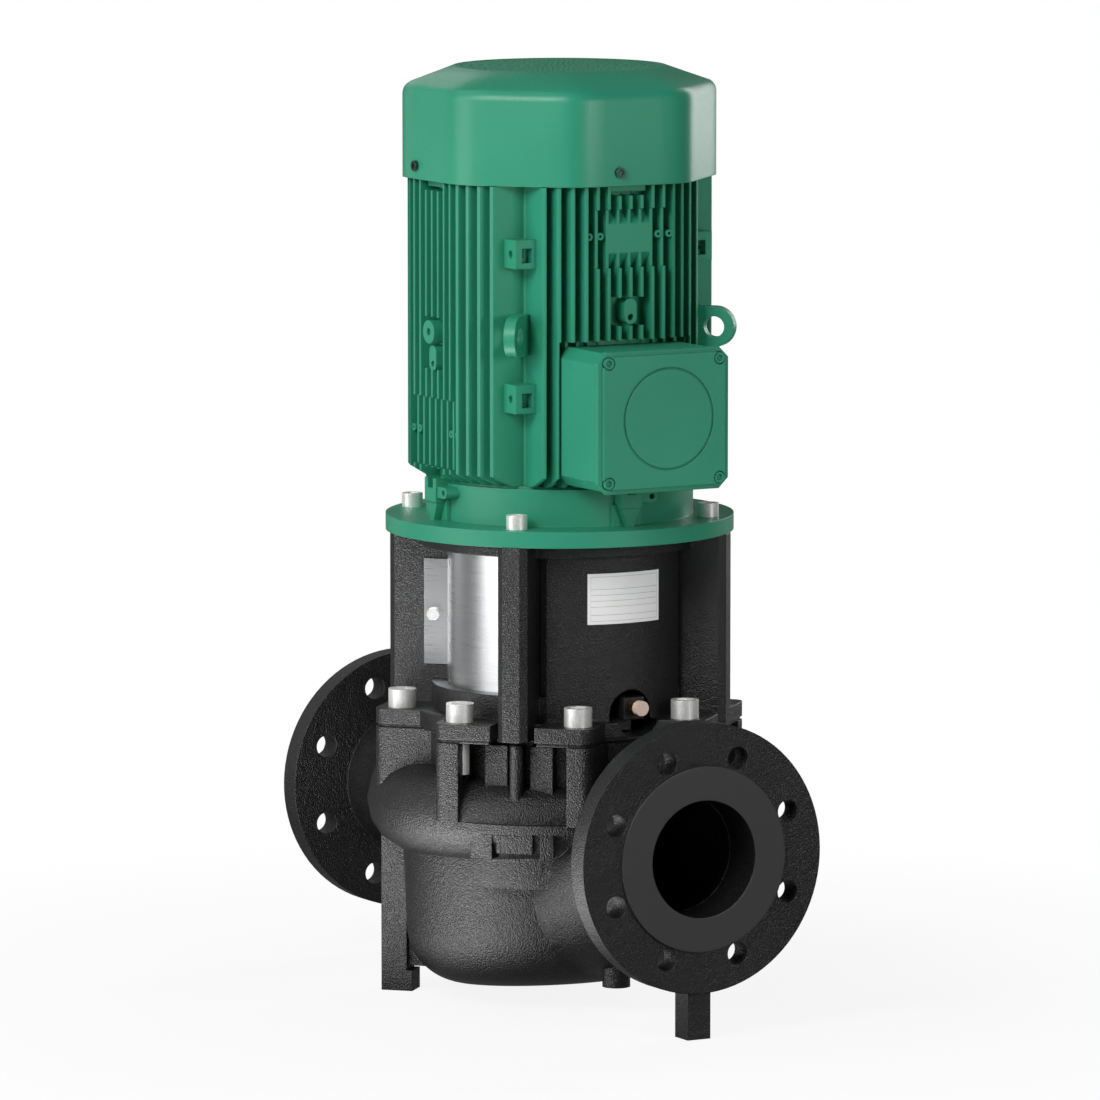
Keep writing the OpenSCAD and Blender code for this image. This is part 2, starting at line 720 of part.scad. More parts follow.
module label_plate() color("#f2f2f0") on_shaft() {
    half = label_w / 2 / lantern_wall_r * 180 / PI;
    low = lantern_z + 96.5;
    ring_sector(lantern_wall_r + 0.5, lantern_wall_r, low, low + label_h, 1 - half, 1 + half);
}

module impeller() color("#8c7a55") on_shaft() {
    low = impeller_mid_z - outlet_w / 2;
    high = impeller_mid_z + outlet_w / 2;
    inner_low = [[eye_r, eye_z + 6], [eye_r + 3, eye_z + 18], [eye_r + 14, low - 6], [impeller_r, low]];
    rotate_extrude() polygon(concat([[eye_r + eye_wall, eye_z + 1], [eye_r, eye_z + 1]], inner_low,
        [[impeller_r, low - shroud_t], [eye_r + 16, low - 6 - shroud_t],
            [eye_r + eye_wall, low - 10 - shroud_t]]));
    difference() {
        union() {
            translate([0, 0, high]) cylinder(r = impeller_r, h = shroud_t);
            translate([0, 0, hub_z]) cylinder(r1 = hub_r - 4, r2 = hub_r + 4, h = high - hub_z + bite);
            translate([0, 0, high]) cylinder(r = hub_r, h = shroud_t + 5);
            intersection() {
                translate([0, 0, -8]) linear_extrude(high + 8 + bite) vanes();
                rotate_extrude() polygon([[hub_r - 6, high + 2], [hub_r - 6, 4], [eye_r - 6, -4],
                    [eye_r + 14, low - 8], [impeller_r - 0.5, low - 2], [impeller_r - 0.5, high + 2]]);
            }
        }
        translate([0, 0, -50]) cylinder(r = hub_bore_r, h = 100);
        translate([0, -4, -50]) cube([hub_bore_r + 3.3, 8, 100]);
    }
}

// Backward curved vanes as arcs between the hub and the rim
module vanes() for (i = [0:vane_count - 1]) rotate(360 * i / vane_count) intersection() {
    difference() {
        translate([28, 50]) circle(r = 62);
        translate([28, 50]) circle(r = 62 - vane_t);
    }
    translate([10, -15]) square([110, 110]);
    circle(r = impeller_r + 2);
}

module impeller_key() color("#9a9a9a") on_shaft()
    translate([hub_bore_r - 4, -3.9, hub_z + 4]) cube([7, 7.8, shroud_top_z - hub_z - 6]);

module impeller_nut() color("#c9c9c6") on_shaft() difference() {
    translate([0, 0, hub_z - 14]) cylinder(d = 36 / cos(30), h = 14, $fn = 6);
    translate([0, 0, hub_z - 20]) cylinder(r = 10, h = 30);
}

module stub_shaft() color("#a9acb0") on_shaft() difference() {
    union() {
        translate([0, 0, hub_z - 18]) cylinder(r = 9.95, h = 30);
        translate([0, 0, hub_z]) cylinder(r = hub_bore_r - 0.02, h = shroud_top_z + 5 - hub_z + bite);
        translate([0, 0, shroud_top_z + 5])
            cylinder(r = seal_shaft_r, h = sleeve_z - shroud_top_z - 5 + bite);
        translate([0, 0, sleeve_z]) cylinder(r = sleeve_r, h = sleeve_top_z - sleeve_z);
    }
    translate([0, 0, lantern_top_z - shaft_end_l - 1]) cylinder(d = shaft_end_d + 0.04, h = 100);
    translate([0, -5, lantern_top_z - shaft_end_l - 1]) cube([shaft_end_d / 2 + 3.5, 10, 100]);
    translate([hub_bore_r - 4.1, -4, hub_z + 3]) cube([10, 8, shroud_top_z - hub_z - 4]);
    for (z = [22, 46]) translate([0, 0, sleeve_z + z]) rotate([0, 90, 90]) cylinder(d = 8, h = 40);
}

module stub_shaft_screws() color("#55585c") on_shaft() for (z = [22, 46])
    translate([0, shaft_end_d / 2 + 0.1, sleeve_z + z]) rotate([-90, 0, 0]) difference() {
        cylinder(d = 7.9, h = 10);
        translate([0, 0, 6]) cylinder(d = 4.6, h = 10, $fn = 6);
    }

module seal_seat() color("#7b7f84") on_shaft()
    tube(seal_chamber_r - 0.02, seal_shaft_r + 0.5, seal_seat_z - 9, seal_seat_z);

module seal_head() color("#3c3f44") on_shaft() {
    tube(seal_chamber_r - 6, seal_shaft_r, seal_seat_z - 17, seal_seat_z - 9);
    tube(seal_chamber_r - 10, seal_shaft_r, shroud_top_z + 5, shroud_top_z + 9);
}

// Coil spring that presses the rotating seal head up against its seat
module seal_spring() color("#b0b4b8") on_shaft() {
    low = shroud_top_z + 10;
    high = seal_seat_z - 18;
    coil_r = seal_shaft_r + 4;
    turns = 3;
    steps = turns * 14;
    rings = [for (i = [0:steps]) let (a = 360 * turns * i / steps)
        section([coil_r * cos(a), coil_r * sin(a), low + (high - low) * i / steps],
            [-sin(a), cos(a), 0], 1, 6)];
    skin(rings);
}

module deflector_ring() color("#1b1b1b") on_shaft()
    rotate_extrude() polygon([[seal_shaft_r, lantern_z + 8], [seal_shaft_r + 6, lantern_z + 8],
        [seal_shaft_r + 14, lantern_z + 4], [seal_shaft_r + 15, lantern_z + 6],
        [seal_shaft_r + 6, lantern_z + 16], [seal_shaft_r, lantern_z + 16]]);

// Bell with the motor flange, the neck and the housing of the lower bearing
module drive_end_shield() color("#2f8f6c") on_shaft() difference() {
    union() {
        translate([0, 0, lantern_top_z]) cylinder(d = motor_flange_d, h = motor_flange_t);
        translate([0, 0, lantern_top_z - spigot_h]) cylinder(d = spigot_d, h = spigot_h + bite);
        translate([0, 0, shield_top_z - bite]) cylinder(r = neck_r, h = neck_h + bite - 2);
        translate([0, 0, frame_z - 3]) cylinder(r = frame_r + 3, h = 3);
        translate([0, 0, frame_z - bite]) cylinder(r = frame_bore_r - 0.05, h = 8);
        for (a = quarters) at_angle(a, neck_r, 0, shield_top_z)
            shield_lug(neck_h + (a == 0 ? -gap : lug_over));
    }
    rotate_extrude() polygon([[lower_bearing_d / 2 + 10, shield_top_z + 4], [neck_r - 9, shield_top_z + 4],
        [neck_r - 9, frame_z - 12], [frame_bore_r - 8, frame_z], [frame_bore_r - 8, frame_z + 20],
        [lower_bearing_d / 2 + 10, frame_z + 20]]);
    translate([0, 0, bearing_low_z]) cylinder(d = lower_bearing_d + 0.02, h = 100);
    translate([0, 0, 200]) cylinder(d = journal_d + 1.2, h = 200);
    for (a = side_angles) at_angle(a, motor_pcd / 2, 0, lantern_top_z - 10)
        cylinder(d = motor_bolt_d + 1.5, h = 60);
}

// Forked lug up to height h, with a rib below it, a wide base and an ear at one side
module shield_lug(h) difference() {
    union() {
        translate([-8, -lug_base_w / 2, -bite]) cube([11, lug_base_w, lug_base_h + bite]);
        translate([-5, -lug_fork_w / 2, lug_fork_z]) cube([lug_fork_reach + 5, lug_fork_w, h - lug_fork_z]);
        translate([-8, 0, 0]) rotate([90, 0, 90]) linear_extrude(lug_fork_reach + 6.5)
            polygon([[-3, -bite], [3, -bite], [lug_fork_w / 2, lug_fork_z + bite],
                [-lug_fork_w / 2, lug_fork_z + bite]]);
        translate([-6, 0, lug_ear_z - lug_ear_r]) cube([lug_fork_reach + 4.5, lug_ear_y, 2 * lug_ear_r]);
        translate([-6, lug_ear_y, lug_ear_z]) rotate([0, 90, 0])
            cylinder(r = lug_ear_r, h = lug_fork_reach + 4.5);
    }
    translate([-bite, -lug_slot_w / 2, lug_slot_z]) cube([20, lug_slot_w, 20]);
    translate([0, lug_ear_y - 1, lug_ear_z]) rotate([0, 90, 0]) cylinder(r = lug_ear_r / 2, h = 20);
}

module motor_flange_bolts() color("#dcdcda") on_shaft()
    for (a = side_angles) at_angle(a, motor_pcd / 2, 0, shield_top_z)
        socket_screw(motor_bolt_d - 0.2, motor_bolt_l, motor_bolt_d * 1.5, motor_bolt_d, 10);

// Deep groove ball bearing: rings with a groove for balls of radius ball_r
function ball_pitch(od) = (od / 2 + journal_d / 2) / 2;
function ball_r(od) = (od / 2 - journal_d / 2) * 0.3;

module bearing_ring(outer, inner, z, w, od) difference() {
    tube(outer, inner, z, z + w);
    rotate_extrude() translate([ball_pitch(od), z + w / 2]) circle(r = ball_r(od) + running);
}

module bearing_outer(od, w, z) bearing_ring(od / 2, ball_pitch(od) + ball_r(od) * 0.55, z, w, od);
module bearing_inner(od, w, z) bearing_ring(ball_pitch(od) - ball_r(od) * 0.55, journal_d / 2, z, w, od);
module bearing_balls(od, w, z, count) for (i = [0:count - 1])
    rotate(360 * i / count) translate([ball_pitch(od), 0, z + w / 2]) sphere(r = ball_r(od));

module lower_bearing_outer() color("#aab0b6") on_shaft()
    bearing_outer(lower_bearing_d, lower_bearing_w, bearing_low_z);
module lower_bearing_inner() color("#aab0b6") on_shaft()
    bearing_inner(lower_bearing_d, lower_bearing_w, bearing_low_z);
module lower_bearing_balls() color("#d7dade") on_shaft()
    bearing_balls(lower_bearing_d, lower_bearing_w, bearing_low_z, 8);
module upper_bearing_outer() color("#aab0b6") on_shaft()
    bearing_outer(upper_bearing_d, upper_bearing_w, bearing_high_z);
module upper_bearing_inner() color("#aab0b6") on_shaft()
    bearing_inner(upper_bearing_d, upper_bearing_w, bearing_high_z);
module upper_bearing_balls() color("#d7dade") on_shaft()
    bearing_balls(upper_bearing_d, upper_bearing_w, bearing_high_z, 9);

module motor_shaft() color("#a9acb0") on_shaft() difference() {
    union() {
        translate([0, 0, lantern_top_z - shaft_end_l]) cylinder(d = shaft_end_d, h = shaft_end_l + 10);
        translate([0, 0, lantern_top_z + 5])
            cylinder(d = journal_d, h = bearing_high_z + upper_bearing_w - 1 - lantern_top_z);
        translate([0, 0, bearing_low_z + lower_bearing_w])
            cylinder(d = journal_d + 8, h = bearing_high_z - bearing_low_z - lower_bearing_w);
        translate([0, 0, bearing_high_z]) cylinder(r = 16, h = fan_z + 30 - bearing_high_z);
    }
    translate([shaft_end_d / 2 - 5, -5, lantern_top_z - shaft_end_l + 8]) cube([10, 10, 60]);
    tube(18, circlip_r - 0.1, fan_z + fan_hub_h - running, fan_z + fan_hub_h + circlip_t + running);
}

module shaft_key() color("#9a9a9a") on_shaft()
    translate([shaft_end_d / 2 - 5, -4.95, lantern_top_z - shaft_end_l + 8]) cube([8, 9.9, 60]);

module rotor_core() color("#70757a") on_shaft()
    tube(rotor_r, journal_d / 2 + 4, core_z, core_z + core_l);

module stator_core() color("#5f6468") on_shaft()
    tube(frame_bore_r, rotor_r + air_gap, core_z, core_z + core_l);

module stator_windings() color("#b5651d") on_shaft() for (z = [core_z - 26, core_z + core_l])
    tube(frame_bore_r - 8, rotor_r + 6, z, z + 26);

// Fins stand in four bundles that face X and Y, trimmed to a rounded square
module fin_bundle() intersection() {
    for (k = [-fin_half_count:fin_half_count])
        translate([60, k * fin_pitch - fin_t / 2]) square([fin_trim_r, fin_t]);
    circle(r = fin_trim_r);
    translate([0, -fin_trim_r]) square([fin_flat, 2 * fin_trim_r]);
}

// Block with a screw hole and a recess; four of them carry a foot on each side
module foot_pad(z, h) translate([pad_reach - pad_w, pad_reach - pad_w, z]) difference() {
    cube([pad_w, pad_w, h]);
    translate([pad_w - 8, pad_w * 0.25, h * 0.2]) cube([10, pad_w * 0.45, h * 0.5]);
    translate([pad_w * 0.55, pad_w - 12, h / 2]) rotate([-90, 0, 0]) cylinder(d = 6.6, h = 20);
}

module lifting_eye() rotate(45) translate([eye_reach, 0, frame_z + eye_z_in_frame]) {
    rotate([90, 0, 0]) difference() {
        union() {
            cylinder(r = eye_hole_r + eye_ring_w, h = eye_t, center = true);
            translate([-34, -eye_hole_r - eye_ring_w, -eye_t / 2])
                cube([34, 2 * (eye_hole_r + eye_ring_w), eye_t]);
        }
        cylinder(r = eye_hole_r, h = 60, center = true);
    }
}

// Field of height h in which the middle fins are cut back
module fin_field(z, h) translate([fin_flat - field_depth, -field_half_w, frame_z + z])
    cube([20, 2 * field_half_w, h]);

// Four small screw bosses at the sides of such a field
module field_bosses(z) for (side = [-1, 1], k = [3, 4])
    translate([frame_r - 6, side * (k * fin_pitch - small_boss_r - 0.4), frame_z + z]) rotate([0, 90, 0])
        difference() {
            cylinder(r = small_boss_r, h = fin_flat - field_depth - frame_r + 6.4);
            translate([0, 0, 8]) cylinder(d = small_boss_bore, h = 40);
        }

// Gap of height h in the three middle fins
module fin_gap(z, h) translate([frame_r + 0.4, -1.5 * fin_pitch, frame_z + z])
    cube([40, 3 * fin_pitch, h]);

// Upright oval boss with a screw hole at its lower end
module slot_boss(z) translate([frame_r - 6, 0, frame_z + z]) rotate([0, 90, 0]) difference() {
    linear_extrude(fin_flat - frame_r + 5.2) {
        translate([-slot_boss_h + slot_boss_w / 2, 0]) circle(d = slot_boss_w);
        translate([-slot_boss_w / 2, 0]) circle(d = slot_boss_w);
        translate([-slot_boss_h + slot_boss_w / 2, -slot_boss_w / 2])
            square([slot_boss_h - slot_boss_w, slot_boss_w]);
    }
    translate([-slot_boss_w / 2, 0, 8]) cylinder(d = slot_boss_w * 0.45, h = 40);
}

// Flat pad whose upper and lower ends slope down between the fins
module terminal_pad(z, h) translate([0, 2 * fin_pitch - 1, frame_z + z]) rotate([90, 0, 0])
    linear_extrude(4 * fin_pitch - 2) polygon([[frame_r - 6, 0], [frame_r + 3, 0.5],
        [fin_flat - field_depth, h * 0.25], [fin_flat - field_depth, h * 0.75], [frame_r + 3, h - 0.5],
        [frame_r - 6, h]]);

module motor_frame() color("#2b8a68") on_shaft() difference() {
    union() {
        difference() {
            translate([0, 0, frame_z]) linear_extrude(frame_h) {
                circle(r = frame_r);
                for (a = quarters) rotate(a) fin_bundle();
            }
            fin_field(pad_field_z, pad_field_h);
            fin_gap(box_slot_z - 1, slot_boss_h + 2);
            rotate(-90) {
                fin_field(low_field_z, low_field_h);
                fin_gap(side_slot_z + 1.5, slot_boss_h + 22.5);
            }
            for (a = quarters) rotate(a) {
                fin_gap(frame_h - pocket_h - 3, pocket_h + 4);
                fin_gap(-1, lug_gap_h);
            }
        }
        for (x = [0, 1], y = [0, 1]) mirror([x, 0]) mirror([0, y])
            for (z = foot_pad_z) foot_pad(frame_z + z, foot_pad_h);
        for (a = quarters) rotate(a) translate([frame_r - 6, -1.6 * fin_pitch, frame_z + frame_h - pocket_h])
            cube([fin_flat - frame_r, 3.2 * fin_pitch, pocket_h]);
        for (a = [0, -90]) rotate(a) lifting_eye();
        terminal_pad(pad_field_z, pad_field_h);
        field_bosses(pad_field_z + 27);
        slot_boss(box_slot_z);
        rotate(-90) {
            field_bosses(low_field_z + 30);
            slot_boss(side_slot_z);
            translate([frame_r - 6, 0, frame_z + earth_z]) rotate([0, 90, 0])
                cylinder(r = earth_boss_r, h = earth_reach - frame_r + 6);
        }
        translate([frame_r - 6, -box_w / 2 + 6, frame_z + box_z_in_frame + 6])
            cube([8, box_w - 12, box_h - 12]);
    }
    translate([0, 0, frame_z - 1]) cylinder(r = frame_bore_r, h = frame_h + 2);
    rotate_extrude() polygon([[frame_r + 6, frame_z - 1], [fin_trim_r + 8, frame_z - 1],
        [fin_trim_r + 8, frame_z + 14]]);
    translate([frame_r - bite, -box_w / 2 - 0.5, frame_z - 1])
        cube([40, box_w + 1, box_h + box_z_in_frame + 4]);
    translate([80, -18, frame_z + box_z_in_frame + 40]) cube([60, 36, 40]);
    rotate(-90) translate([earth_reach - 10, 0, frame_z + earth_z]) rotate([0, 90, 0])
        cylinder(d = earth_hole_d, h = 20);
    for (a = side_angles) at_angle(a, cover_flat - cover_sheet - gap, -60, fan_cover_z - gap)
        cube([40, 120, 20]);
}

// Where the fan cover screws stand, square to the flats of the cover
module cover_screw_places(reach) for (site = cover_screw_sites)
    at_angle(site[0], reach, site[1], cover_screw_z) rotate([0, 90, 0]) children();

module fan_end_shield() color("#2b8a68") on_shaft() difference() {
    union() {
        translate([0, 0, frame_top_z]) cylinder(r = frame_r, h = 6);
        translate([0, 0, frame_top_z - 6]) cylinder(r = frame_bore_r - 0.05, h = 7);
        translate([0, 0, bearing_high_z - 4])
            cylinder(d = upper_bearing_d + 18, h = frame_top_z - bearing_high_z + 5);
        for (site = cover_screw_sites) at_angle(site[0], frame_r - 8, site[1] - 8, frame_top_z)
            cube([cover_flat - cover_sheet - gap - frame_r + 8, 16, 16]);
    }
    translate([0, 0, bearing_high_z - 10]) cylinder(d = upper_bearing_d + 0.02, h = upper_bearing_w + 10);
    translate([0, 0, 300]) cylinder(d = journal_d + 1.2, h = 400);
    cover_screw_places(90) cylinder(d = 5, h = 60);
    for (a = side_angles) at_angle(a, frame_r - 7, 0, frame_top_z - 20) cylinder(d = 6.6, h = 60);
}

module shield_screws() color("#c9c9c6") on_shaft() for (a = side_angles)
    at_angle(a, frame_r - 7, 0, frame_top_z + 6) hex_screw(6, 5, 10, 4);

module fan() color("#1d1d1f") on_shaft() {
    tube(24, 16, fan_z, fan_z + fan_hub_h);
    tube(fan_r - 6, 16, fan_z + 8, fan_z + 11);
    for (i = [0:fan_blades - 1]) rotate(360 * i / fan_blades)
        translate([22, -1.25, fan_z + 8]) cube([fan_r - 22, 2.5, 34]);
}

module fan_circlip() color("#55585c") on_shaft() difference() {
    tube(21, circlip_r, fan_z + fan_hub_h, fan_z + fan_hub_h + circlip_t);
    translate([0, -4, fan_z + 20]) cube([30, 8, 20]);
}

// Distance from the axis to a rounded octagon at polar angle a
function octagon_r(a, flat, corner) =
    let (centre = (flat - corner) / cos(22.5),
        fold = abs((a + 3600 + 22.5) % 45 - 22.5), d = 22.5 - fold,
        tangent = atan2((flat - corner) * tan(22.5), flat))
    fold <= tangent ? flat / cos(fold)
        : centre * cos(d) + sqrt(corner * corner - pow(centre * sin(d), 2));

cover_points = 64;

// One ring of the fan cover, pulled in from the octagon and then towards the round grille
function cover_ring(inset, z, share, flat, rim) = [for (k = [0:cover_points - 1])
    let (a = -360 * k / cover_points,
        r = (octagon_r(a, flat, cover_corner_r) - inset) * (1 - share) + rim * share)
    [r * cos(a), r * sin(a), z]];

// Rings up one face of the cover, from its lower edge to the rim of the grille
function cover_rings(sheet, rim) =
    let (flat = cover_flat - sheet, top = fan_cover_z + cover_h - sheet,
        side_top = top - (cover_flat - rim) * tan(cover_slope))
    concat([cover_ring(0, fan_cover_z, 0, flat, rim)],
        [for (a = [0:15:90 - cover_slope]) cover_ring(cover_round * (1 - cos(a)),
            side_top + cover_round * (sin(a) - 0.4), 0, flat, rim)],
        [cover_ring(0, top, 1, flat, rim)]);

function reverse(list) = [for (i = [len(list) - 1:-1:0]) list[i]];

module grille_holes() for (ring = [1:floor((grille_r - 8) / grille_pitch)])
    let (r = ring * grille_pitch + 3, count = max(6, floor(2 * PI * r / (grille_pitch * 6)) * 6))
    for (i = [0:count - 1]) rotate(360 * i / count + 30 / count) translate([r, 0]) circle(r = grille_hole_r);

module fan_cover() color("#318f6d") on_shaft() {
    top = fan_cover_z + cover_h;
    difference() {
        skin(concat(cover_rings(0, grille_r), [cover_ring(0, top, 1, cover_flat, grille_r - 3)],
            reverse(cover_rings(cover_sheet, grille_r - 3))), wrap = true);
        cover_screw_places(90) cylinder(d = 6.5, h = 60);
    }
    translate([0, 0, top - 0.3 - cover_sheet]) linear_extrude(cover_sheet) difference() {
        circle(r = grille_r - 1);
        grille_holes();
    }
}

module fan_cover_screws() color("#c9c9c6") on_shaft()
    cover_screw_places(cover_flat) socket_screw(4.9, 16, 9, 3, 5);

box_z = frame_z + box_z_in_frame;
box_back = frame_r - bite + 0.05;
box_front = box_reach - lid_t - 1.5;

module box_outline(inset, chamfer = 9) {
    w = box_w / 2 - inset;
    polygon([[inset + chamfer, -w], [box_h - inset - chamfer, -w], [box_h - inset, -w + chamfer],
        [box_h - inset, w - chamfer], [box_h - inset - chamfer, w], [inset + chamfer, w],
        [inset, w - chamfer], [inset, -w + chamfer]]);
}

// Lays an outline of height and width against a plane square to X
module against_x(x, t) translate([x, 0, box_z]) rotate([0, -90, 0]) translate([0, 0, -t])
    linear_extrude(t) children();

module lid_screw_places() for (y = [-1, 1], z = [0, 1])
    translate([0, y * (box_w / 2 - lid_screw_inset),
        box_z + (z == 0 ? lid_screw_inset : box_h - lid_screw_inset)]) rotate([0, 90, 0]) children();

module terminal_box() color("#2b8a68") on_shaft() difference() {
    against_x(box_back, box_front - box_back) box_outline(1.5);
    difference() {
        against_x(box_back + box_wall, box_front) box_outline(box_wall + 1.5);
        lid_screw_places() cylinder(r = 8, h = 400);
    }
    lid_screw_places() translate([0, 0, box_front - 25]) cylinder(d = 5, h = 60);
    for (z = [36, 84]) translate([box_front - 28, 0, box_z + z]) rotate([-90, 0, 0])
        cylinder(d = 32, h = box_w);
    translate([0, 0, box_z + 60]) rotate([0, 90, 0]) cylinder(d = 30, h = box_back + 20);
}

module box_gasket() color("#141414") on_shaft() difference() {
    against_x(box_front, 1.5) box_outline(2);
    against_x(box_front - 5, 12) box_outline(box_wall + 7);
    lid_screw_places() cylinder(d = 5, h = 400);
}

module box_lid() color("#349472") on_shaft() difference() {
    union() {
        against_x(box_front + 1.5, lid_t - 3) box_outline(0);
        against_x(box_front + 1.5, lid_t) box_outline(4);
    }
    against_x(box_front - 5, 6.5 + lid_t - 5) box_outline(box_wall + 9);
    translate([box_reach - 1.2, 3.7, box_z + 62]) rotate([0, 90, 0]) rotate_extrude()
        translate([lid_ring_d / 2, 0]) square([1.6, 5]);
    lid_screw_places() cylinder(d = 5.5, h = 400);
    lid_screw_places() translate([0, 0, box_reach - 4.5]) cylinder(d = 11, h = 20);
}

module lid_screws() color("#3a9a77") on_shaft() lid_screw_places() translate([0, 0, box_reach - 4.5])
    socket_screw(4.9, 20, 9.5, 4, 5);

module terminal_board() color("#2a2320") on_shaft()
    translate([box_back + box_wall, -22, box_z + 34]) cube([10, 44, 56]);

module terminal_studs() color("#c8a04a") on_shaft() for (y = [-14, 0, 14], z = [50, 74])
    translate([box_back + box_wall + 10, y, box_z + z]) rotate([0, 90, 0]) {
        cylinder(d = 5, h = 16);
        translate([0, 0, 1]) cylinder(d = 8 / cos(30), h = 4, $fn = 6);
    }

module entry_plugs() color("#1d1d1f") on_shaft() for (z = [36, 84])
    translate([box_front - 28, box_w / 2 - 1.5, box_z + z]) rotate([-90, 0, 0])
        hex_screw(31.9, 8, 36, 5);

volute_casing();
casing_wear_ring();
drain_plug();
casing_cover();
cover_o_ring();
joint_bolts();
lantern();
guard_left();
guard_right();
guard_screws();
vent_valve_body();
vent_screw();
label_plate();
impeller();
impeller_key();
impeller_nut();
stub_shaft();
stub_shaft_screws();
seal_seat();
seal_head();
seal_spring();
deflector_ring();
drive_end_shield();
motor_flange_bolts();
lower_bearing_outer();
lower_bearing_balls();
lower_bearing_inner();
motor_shaft();
shaft_key();
rotor_core();
stator_core();
stator_windings();
motor_frame();
upper_bearing_outer();
upper_bearing_balls();
upper_bearing_inner();
fan_end_shield();
shield_screws();
fan();
fan_circlip();
fan_cover();
fan_cover_screws();
terminal_box();
box_gasket();
box_lid();
lid_screws();
terminal_board();
terminal_studs();
entry_plugs();
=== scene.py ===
"""Looks of the dry rotor in-line pump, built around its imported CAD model. Lengths are in metres."""

import math

import bpy
from mathutils import Matrix, Vector

# The suction flange's face lies at X = 0, the discharge flange's face at -FACE_TO_FACE.
SHAFT_X = -0.250
FACE_TO_FACE = 0.550
FLOOR_Z = -0.155

# Camera: a long lens that looks from the front left, a little above the pipe axis
CAMERA_BACK = Vector((0.8676, -0.4818, 0.1232)).normalized()
CAMERA_PLACE = Vector((6.5697 + SHAFT_X, -3.6578, 1.1685))
CAMERA_LENS = 287.6
CAMERA_SENSOR = 36.0

# Frame and rows of the label, in the part's own place
LABEL_Y = (-0.0305, 0.0345)
LABEL_Z = (0.1872, 0.2253)
LABEL_INSET = 0.0001
LABEL_LINE = 0.0003
LABEL_ROWS = (LABEL_Z[0] + LABEL_INSET, 0.1925, 0.1995, 0.2045, 0.2095, 0.2145,
              LABEL_Z[1] - LABEL_INSET)

# Enamel of motor and terminal box, with the tone that it sinks to in its clouds
GREEN = (0.026, 0.285, 0.170)
GREEN_DEEP = (0.021, 0.250, 0.148)

# Noise scales in cycles per metre: relief in grains and swells, tone in clouds
SAND_GRAINS, SAND_SWELLS, SAND_CLOUDS = 780.0, 210.0, 9.0
ORANGE_PEEL, PAINT_CLOUDS = 520.0, 7.0
FILM_CLOUDS, FILM_GRAIN = 60.0, 900.0
# Raised faces turned smooth, from the outermost plane to this depth, and their tone
TURNED_DEPTH = 0.0006
TURNED_GREY = (0.215, 0.215, 0.22)
# Bands in each metre of a wave texture whose scale is one
WAVE_BANDS = 3.2
# Points of neighbouring facets that lie closer than this are one point.
WELD_DISTANCE = 1e-6
# Facets that meet at less than this angle are shaded as one surface.
SMOOTH_ANGLE = math.radians(32.0)

ROOM_LIGHT = 0.10
FLOOR_REACH = 60.0
# Share of plain white in what the camera sees of the floor, from near the feet to far away
FLOOR_WHITE, FLOOR_WHITE_FROM, FLOOR_WHITE_TO = 0.88, 0.35, 0.9
# Painted reflection: a bright patch of the floor, to the left of the bowl, that glows only for
# reflections
SHEEN_PLACE = (-0.20, -0.46)
SHEEN_RADIUS, SHEEN_END = 0.12, 0.34
SHEEN_STRENGTH, SHEEN_AWAY = 11.0, 0.16

# Softboxes aimed at the middle of the pump: place, size and power
CENTRE = (SHAFT_X, 0.0, 0.25)
SOFTBOXES = {
    "key_front_left": ((0.95, -2.10, 1.85), (1.0, 1.2), 43.0),
    "side_left": ((-0.55, -2.60, 0.75), (1.8, 2.4), 35.0),
    "fill_right": ((2.6, 0.6, 0.85), (0.9, 0.9), 19.0),
    "top_left": ((-0.9, -0.9, 2.3), (1.2, 1.2), 6.0),
    "back_left": ((-2.7, -1.0, 0.7), (1.2, 2.0), 3.0),
    "back_high": ((-2.7, 0.35, 1.65), (1.3, 0.8), 4.0),
    "rim_back_right": ((-1.2, 2.4, 1.2), (0.8, 2.0), 26.0),
}

